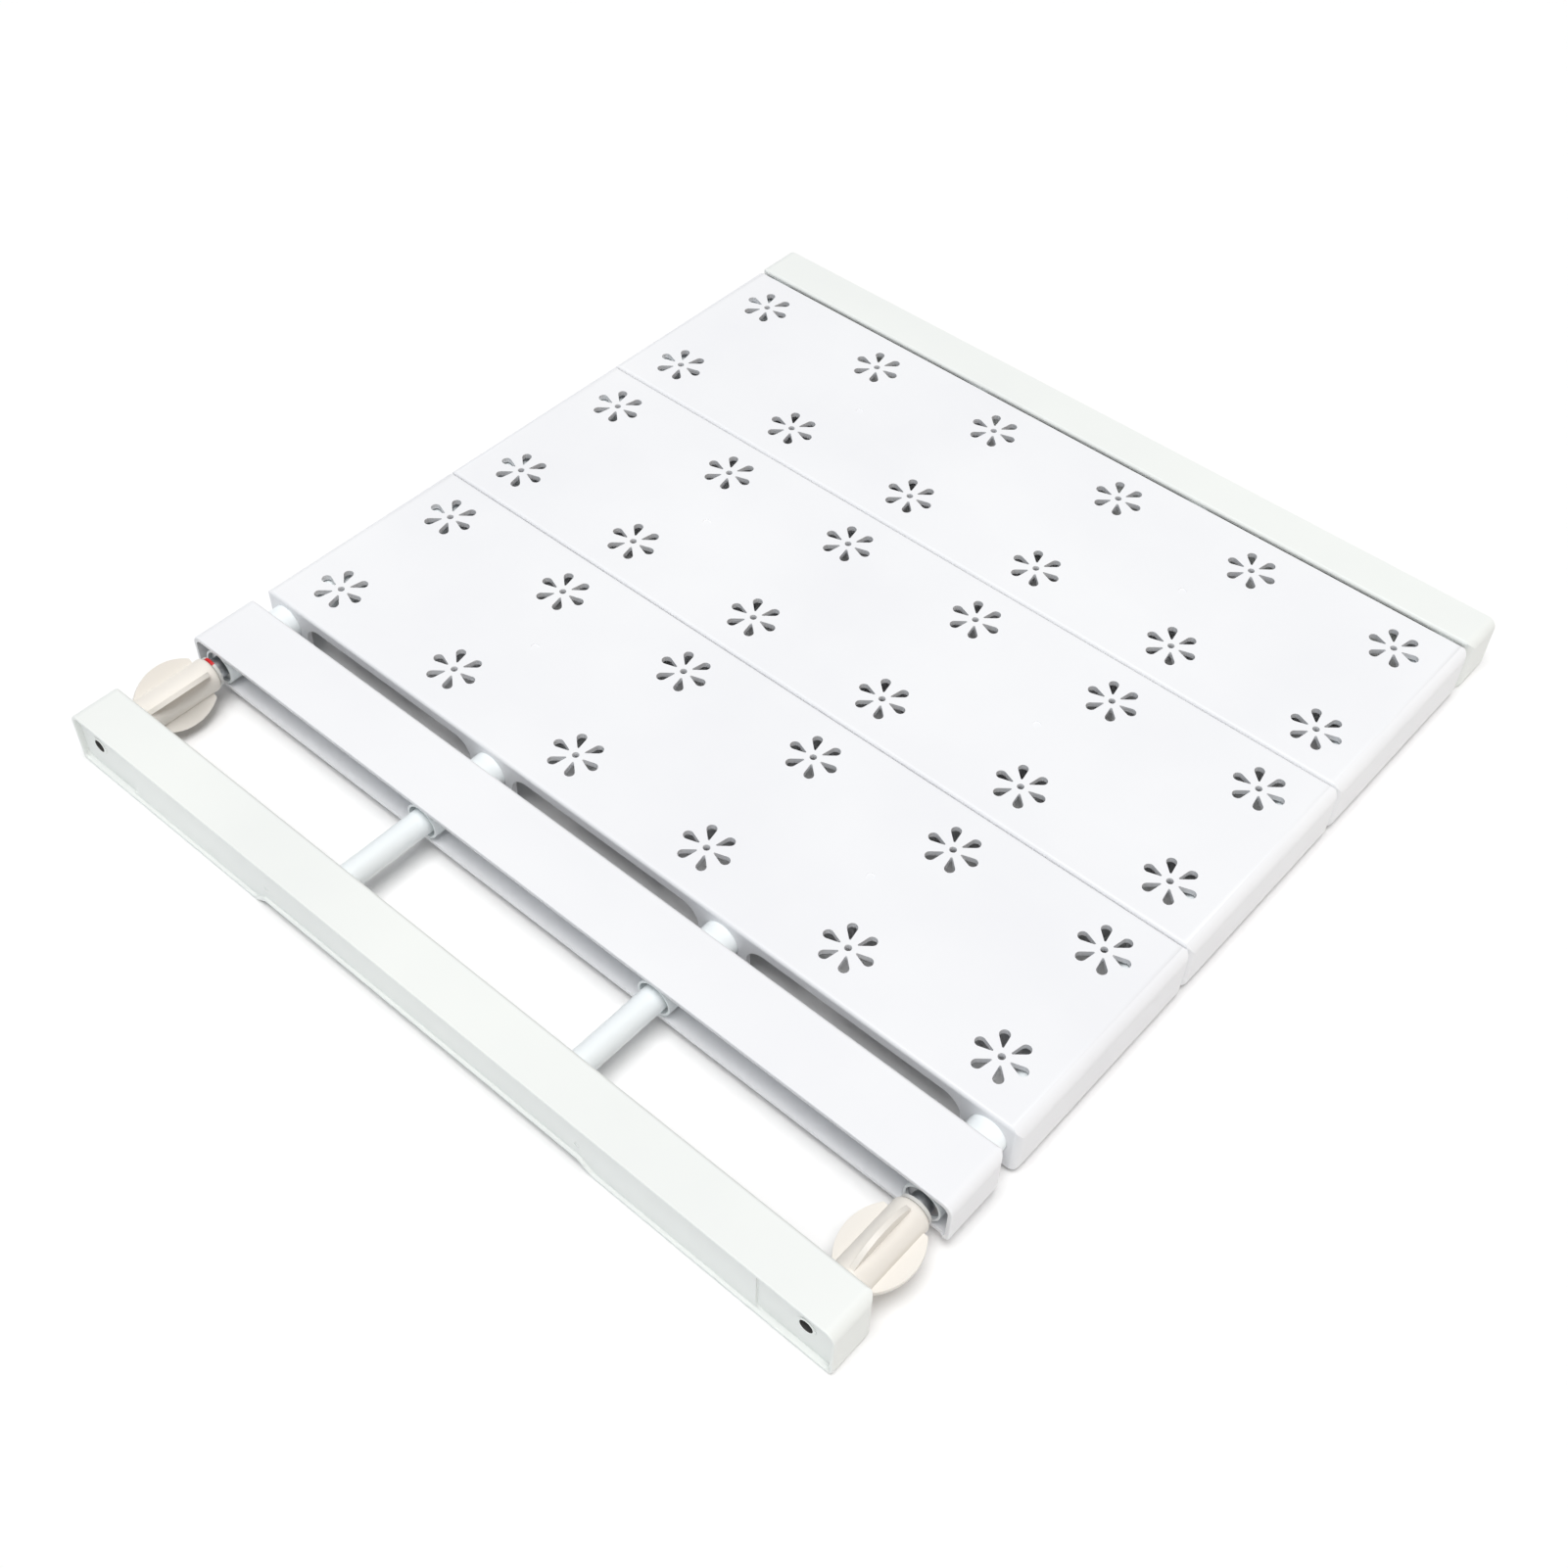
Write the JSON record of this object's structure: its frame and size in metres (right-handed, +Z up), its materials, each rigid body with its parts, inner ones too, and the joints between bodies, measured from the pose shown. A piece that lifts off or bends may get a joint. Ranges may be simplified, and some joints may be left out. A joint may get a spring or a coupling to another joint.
{
  "type": "expandable tension shelf",
  "caption": "Expandable closet shelf: flower-perforated slatted panels on telescoping tubes, wedged between two walls by finned screw knobs at one end.",
  "frame": {"origin": "centre of the footprint, on the plane of the end bars' lowest faces", "axes": "+X along the tubes from the clamp bar towards the far bar, +Y along the bars, +Z up"},
  "size_m": [0.3824, 0.351, 0.0255],
  "materials": {
    "shelf_plastic": "satin cool-white moulded plastic",
    "bar_plastic": "satin white moulded plastic, very slightly green",
    "tube_paint": "pale powder-coated steel tube",
    "inner_tube_paint": "pale painted steel tube",
    "knob_plastic": "cream moulded plastic",
    "stud_steel": "zinc-plated threaded steel",
    "ring_red": "red plastic ring",
    "glide_plastic": "natural nylon",
    "screw_steel": "zinc-plated self-tapping screws",
    "lock_plastic": "white moulded plastic",
    "boss_steel": "painted steel, as the tube"
  },
  "bodies": {
    "fixed_frame": {"crossbar": "shelf_plastic", "front_panel": "shelf_plastic", "outer_tube_1": "tube_paint", "outer_tube_2": "tube_paint", "outer_tube_3": "tube_paint", "outer_tube_4": "tube_paint", "stud_left": "stud_steel", "stud_right": "stud_steel", "rod_bush_left": "glide_plastic", "rod_bush_right": "glide_plastic", "tube_end_rings": "glide_plastic", "crossbar_screws": "screw_steel", "lock_boss_left": "boss_steel", "lock_boss_right": "boss_steel"},
    "clamp_bar": {"clamp_bar": "bar_plastic", "guide_rod_left": "tube_paint", "guide_rod_right": "tube_paint", "rod_tail_left": "glide_plastic", "rod_tail_right": "glide_plastic", "clamp_bar_screws": "screw_steel", "knob_washers": "glide_plastic"},
    "knob_left": {"knob_left": "knob_plastic", "knob_ring_left": "ring_red"},
    "knob_right": {"knob_right": "knob_plastic", "knob_ring_right": "ring_red"},
    "far_bar": {"far_bar": "bar_plastic", "inner_tube_1": "inner_tube_paint", "inner_tube_2": "inner_tube_paint", "inner_tube_3": "inner_tube_paint", "inner_tube_4": "inner_tube_paint", "rear_panel": "shelf_plastic", "inner_tube_glides": "glide_plastic", "far_bar_screws": "screw_steel"},
    "panel_middle": {"middle_panel": "shelf_plastic"},
    "lock_screw_left": {"lock_screw_left": "lock_plastic"},
    "lock_screw_right": {"lock_screw_right": "lock_plastic"}
  },
  "joints": [
    {"name": "clamp_slide", "type": "slide", "parent": "fixed_frame", "child": "clamp_bar", "axis": [-1, 0, 0], "range_m": [-0.0025, 0.0175]},
    {"name": "knob_left_turn", "type": "hinge", "parent": "clamp_bar", "child": "knob_left", "pos_m": [-0.15635, 0.1635, 0.013], "axis": [-1, 0, 0], "range_deg": [-300, 2100]},
    {"name": "knob_right_turn", "type": "hinge", "parent": "clamp_bar", "child": "knob_right", "pos_m": [-0.15635, -0.1635, 0.013], "axis": [-1, 0, 0], "range_deg": [-300, 2100]},
    {"name": "far_slide", "type": "slide", "parent": "fixed_frame", "child": "far_bar", "axis": [1, 0, 0], "range_m": [0, 0.2175]},
    {"name": "middle_panel_slide", "type": "slide", "parent": "fixed_frame", "child": "panel_middle", "axis": [1, 0, 0], "range_m": [0, 0.10875]},
    {"name": "lock_left_turn", "type": "hinge", "parent": "fixed_frame", "child": "lock_screw_left", "pos_m": [0.15475, 0.1635, 0.002], "axis": [0, 0, 1], "range_deg": [0, 360]},
    {"name": "lock_right_turn", "type": "hinge", "parent": "fixed_frame", "child": "lock_screw_right", "pos_m": [0.15475, -0.1635, 0.002], "axis": [0, 0, 1], "range_deg": [0, 360]}
  ],
  "couplings": [
    {"joint": "knob_left_turn", "follows": "clamp_slide", "rad_per_m": 2094.4},
    {"joint": "knob_right_turn", "follows": "clamp_slide", "rad_per_m": 2094.4},
    {"joint": "middle_panel_slide", "follows": "far_slide", "ratio": 0.5}
  ]
}
